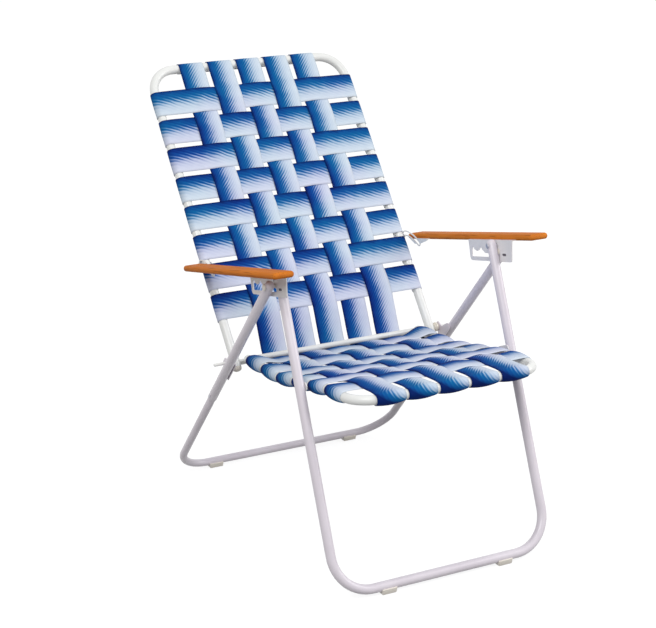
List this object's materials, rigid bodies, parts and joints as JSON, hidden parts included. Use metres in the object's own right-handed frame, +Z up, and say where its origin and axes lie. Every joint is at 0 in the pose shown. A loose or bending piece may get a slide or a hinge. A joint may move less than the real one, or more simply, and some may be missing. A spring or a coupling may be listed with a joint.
{
  "type": "folding webbed lawn chair",
  "caption": "Folding reclining lawn chair with a bent tube frame, woven blue webbing, wooden arms on notched brackets and hooked rear legs.",
  "frame": {"origin": "on the floor under the middle of the bounding box", "axes": "+X to the right of someone facing the chair, +Y from the front of the chair to its back, +Z up"},
  "size_m": [0.5976, 0.8978, 0.8699],
  "materials": {
    "white_enamel": "semi-gloss white enamel",
    "bracket_sheet": "satin light grey-white paint",
    "plated_fasteners": "bright plated",
    "cream_plastic": "semi-gloss",
    "blue_webbing": "woven, blue to white in stripes",
    "oak_arms": "varnished"
  },
  "bodies": {
    "seat": {"seat_frame": "white_enamel", "hinge_bar": "white_enamel", "hinge_spacer_left": "cream_plastic", "hinge_spacer_right": "cream_plastic", "seat_rivet_left": "plated_fasteners", "seat_rivet_right": "plated_fasteners", "seat_long_strap_1": "blue_webbing", "seat_long_strap_2": "blue_webbing", "seat_long_strap_3": "blue_webbing", "seat_long_strap_4": "blue_webbing", "seat_long_strap_5": "blue_webbing", "seat_row_strap_1": "blue_webbing", "seat_row_strap_2": "blue_webbing", "seat_row_strap_3": "blue_webbing", "seat_row_strap_4": "blue_webbing", "seat_row_strap_5": "blue_webbing", "seat_row_strap_6": "blue_webbing"},
    "back": {"back_frame": "white_enamel", "back_crossbar": "white_enamel", "back_cap_left": "cream_plastic", "back_cap_right": "cream_plastic", "arm_bolt_left": "plated_fasteners", "arm_bolt_right": "plated_fasteners", "back_long_strap_1": "blue_webbing", "back_long_strap_2": "blue_webbing", "back_long_strap_3": "blue_webbing", "back_long_strap_4": "blue_webbing", "back_long_strap_5": "blue_webbing", "back_row_strap_1": "blue_webbing", "back_row_strap_2": "blue_webbing", "back_row_strap_3": "blue_webbing", "back_row_strap_4": "blue_webbing", "back_row_strap_5": "blue_webbing", "back_row_strap_6": "blue_webbing", "back_row_strap_7": "blue_webbing", "back_row_strap_8": "blue_webbing"},
    "front_legs": {"front_leg_frame": "white_enamel", "front_glide_left": "cream_plastic", "front_glide_right": "cream_plastic", "seat_lug_left": "bracket_sheet", "seat_lug_right": "bracket_sheet", "leg_rivet_left": "plated_fasteners", "leg_rivet_right": "plated_fasteners"},
    "arms": {"arm_left": "oak_arms", "arm_right": "oak_arms", "front_bracket_left": "bracket_sheet", "front_bracket_right": "bracket_sheet", "rear_bracket_left": "bracket_sheet", "rear_bracket_right": "bracket_sheet"},
    "rear_legs": {"rear_lower_frame": "white_enamel", "rear_upper_tube_left": "white_enamel", "rear_upper_tube_right": "white_enamel", "rear_glide_left": "cream_plastic", "rear_glide_right": "cream_plastic", "hook_plate_left": "bracket_sheet", "hook_plate_right": "bracket_sheet", "splice_rivet_left": "plated_fasteners", "splice_rivet_right": "plated_fasteners", "notch_pin_left": "cream_plastic", "notch_pin_right": "cream_plastic"}
  },
  "joints": [
    {"name": "back_fold", "type": "hinge", "parent": "seat", "child": "back", "pos_m": [0, 0.02068, 0.3352], "axis": [1, 0, 0], "range_deg": [0, 95]},
    {"name": "front_leg_fold", "type": "hinge", "parent": "seat", "child": "front_legs", "pos_m": [0, -0.25808, 0.37069], "axis": [1, 0, 0], "range_deg": [0, 89.4]},
    {"name": "arm_fold", "type": "hinge", "parent": "front_legs", "child": "arms", "pos_m": [0, -0.1994, 0.57296], "axis": [1, 0, 0], "range_deg": [-71.35, 0]},
    {"name": "rear_leg_fold", "type": "hinge", "parent": "arms", "child": "rear_legs", "pos_m": [0, -0.20605, 0.5603], "axis": [1, 0, 0], "range_deg": [0, 10.55]}
  ],
  "couplings": [
    {"joint": "front_leg_fold", "follows": "back_fold", "ratio": 0.94},
    {"joint": "arm_fold", "follows": "back_fold", "ratio": -0.75},
    {"joint": "rear_leg_fold", "follows": "back_fold", "ratio": 0.11}
  ]
}
